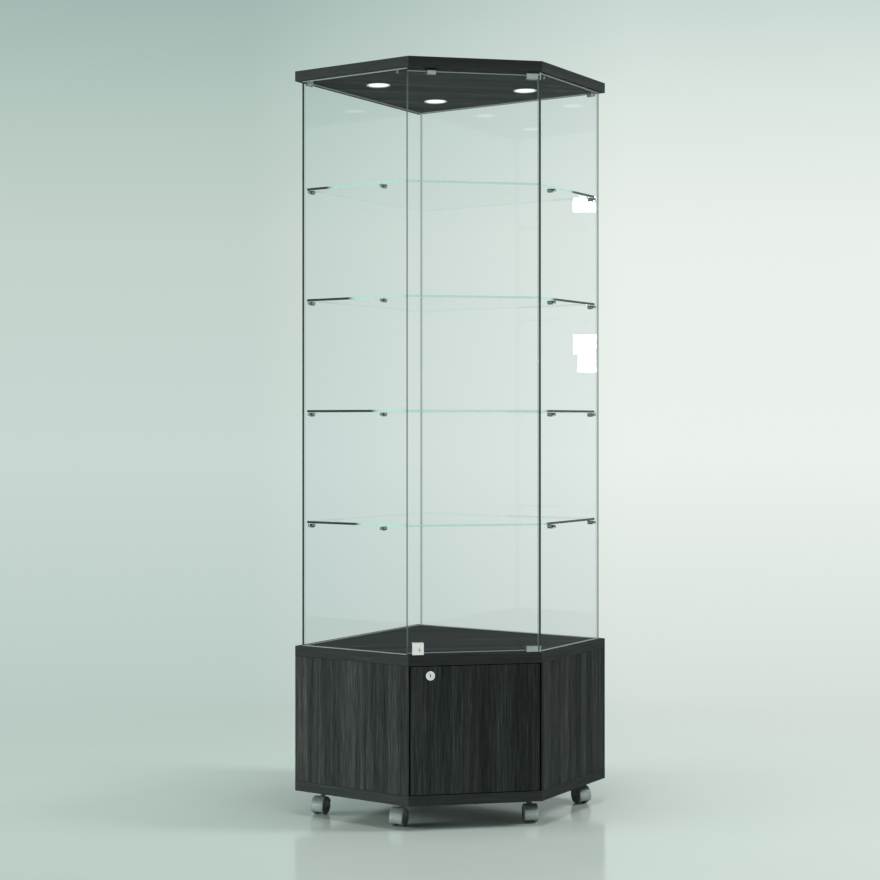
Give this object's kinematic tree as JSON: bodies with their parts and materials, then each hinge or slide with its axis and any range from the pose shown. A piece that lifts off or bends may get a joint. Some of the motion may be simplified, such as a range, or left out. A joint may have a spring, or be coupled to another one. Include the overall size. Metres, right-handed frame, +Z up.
{
  "type": "corner display cabinet",
  "caption": "Five-sided corner display cabinet: glass case with a clamp-hinged glass door and glass shelves over a wood cupboard base on twin-wheel casters.",
  "frame": {"origin": "on the floor, at the middle of the outline's box", "axes": "+Z up, the door side faces -Y, the right angle that stands in the room's corner points to +Y"},
  "size_m": [0.8062, 0.6426, 1.85],
  "materials": {
    "wood": "dark wenge grain, satin",
    "glass": "clear float glass, faint aqua edges",
    "fittings": "polished chrome plate",
    "steel": "satin steel",
    "magnet": "matt dark magnet housing",
    "lamp": "satin rim round a frosted lens",
    "caster_housing": "grey moulded plastic",
    "caster_wheel": "grey moulded plastic"
  },
  "bodies": {
    "cabinet": {"base_bottom": "wood", "base_top": "wood", "base_side_left": "wood", "base_side_right": "wood", "base_back_left": "wood", "base_back_right": "wood", "base_hinge_pin_lower": "steel", "base_hinge_pin_upper": "steel", "glass_back_left": "glass", "glass_back_right": "glass", "glass_side_left": "glass", "glass_side_right": "glass", "shelf_1": "glass", "shelf_2": "glass", "shelf_3": "glass", "shelf_4": "glass", "shelf_stud_1_left_back": "fittings", "shelf_stud_1_left_front": "fittings", "shelf_stud_1_right_back": "fittings", "shelf_stud_1_right_front": "fittings", "shelf_stud_2_left_back": "fittings", "shelf_stud_2_left_front": "fittings", "shelf_stud_2_right_back": "fittings", "shelf_stud_2_right_front": "fittings", "shelf_stud_3_left_back": "fittings", "shelf_stud_3_left_front": "fittings", "shelf_stud_3_right_back": "fittings", "shelf_stud_3_right_front": "fittings", "shelf_stud_4_left_back": "fittings", "shelf_stud_4_left_front": "fittings", "shelf_stud_4_right_back": "fittings", "shelf_stud_4_right_front": "fittings", "catch_magnet": "magnet", "top_panel": "wood", "corner_bracket_left": "steel", "corner_bracket_right": "steel", "front_clip_left": "steel", "front_clip_right": "steel", "downlight_back": "lamp", "downlight_left": "lamp", "downlight_right": "lamp"},
    "glass_door_leaf": {"glass_door": "glass", "glass_hinge_lower": "fittings", "glass_hinge_upper": "fittings", "glass_lock_case": "fittings", "catch_plate": "steel"},
    "glass_lock": {"glass_lock_barrel": "fittings"},
    "base_door_leaf": {"base_door": "wood", "base_lock_case": "fittings"},
    "base_lock": {"base_lock_barrel": "fittings"},
    "caster_back": {"caster_housing_back": "caster_housing"},
    "caster_left": {"caster_housing_left": "caster_housing"},
    "caster_front_left": {"caster_housing_front_left": "caster_housing"},
    "caster_front_right": {"caster_housing_front_right": "caster_housing"},
    "caster_right": {"caster_housing_right": "caster_housing"},
    "wheels_back": {"caster_wheels_back": "caster_wheel"},
    "wheels_left": {"caster_wheels_left": "caster_wheel"},
    "wheels_front_left": {"caster_wheels_front_left": "caster_wheel"},
    "wheels_front_right": {"caster_wheels_front_right": "caster_wheel"},
    "wheels_right": {"caster_wheels_right": "caster_wheel"}
  },
  "joints": [
    {"name": "glass_door_hinge", "type": "hinge", "parent": "cabinet", "child": "glass_door_leaf", "pos_m": [0.16312, -0.30882, 0.42], "axis": [0, 0, 1], "range_deg": [0, 110]},
    {"name": "glass_lock_turn", "type": "hinge", "parent": "glass_door_leaf", "child": "glass_lock", "pos_m": [-0.13732, -0.31182, 0.4323], "axis": [0, -1, 0], "range_deg": [0, 90]},
    {"name": "base_door_hinge", "type": "hinge", "parent": "cabinet", "child": "base_door_leaf", "pos_m": [0.14546, -0.31032, 0.24], "axis": [0, 0, 1], "range_deg": [0, 110]},
    {"name": "base_lock_turn", "type": "hinge", "parent": "base_door_leaf", "child": "base_lock", "pos_m": [-0.11186, -0.31, 0.371], "axis": [0, 1, 0], "range_deg": [0, 90]},
    {"name": "caster_swivel_back", "type": "hinge", "parent": "cabinet", "child": "caster_back", "pos_m": [0, 0.25344, 0.06], "axis": [0, 0, 1], "continuous": true},
    {"name": "wheel_spin_back", "type": "hinge", "parent": "caster_back", "child": "wheels_back", "pos_m": [0, 0.24144, 0.021], "axis": [1, 0, 0], "continuous": true},
    {"name": "caster_swivel_left", "type": "hinge", "parent": "cabinet", "child": "caster_left", "pos_m": [-0.33163, -0.0782, 0.06], "axis": [0, 0, 1], "continuous": true},
    {"name": "wheel_spin_left", "type": "hinge", "parent": "caster_left", "child": "wheels_left", "pos_m": [-0.33899, -0.08768, 0.021], "axis": [0.7902, -0.6129, 0], "continuous": true},
    {"name": "caster_swivel_front_left", "type": "hinge", "parent": "cabinet", "child": "caster_front_left", "pos_m": [-0.16652, -0.24331, 0.06], "axis": [0, 0, 1], "continuous": true},
    {"name": "wheel_spin_front_left", "type": "hinge", "parent": "caster_front_left", "child": "wheels_front_left", "pos_m": [-0.17358, -0.25301, 0.021], "axis": [0.809, -0.5878, 0], "continuous": true},
    {"name": "caster_swivel_front_right", "type": "hinge", "parent": "cabinet", "child": "caster_front_right", "pos_m": [0.14962, -0.26021, 0.06], "axis": [0, 0, 1], "continuous": true},
    {"name": "wheel_spin_front_right", "type": "hinge", "parent": "caster_front_right", "child": "wheels_front_right", "pos_m": [0.14849, -0.27215, 0.021], "axis": [0.9956, -0.0941, 0], "continuous": true},
    {"name": "caster_swivel_right", "type": "hinge", "parent": "cabinet", "child": "caster_right", "pos_m": [0.33163, -0.0782, 0.06], "axis": [0, 0, 1], "continuous": true},
    {"name": "wheel_spin_right", "type": "hinge", "parent": "caster_right", "child": "wheels_right", "pos_m": [0.33534, -0.08961, 0.021], "axis": [0.9511, 0.309, 0], "continuous": true}
  ]
}
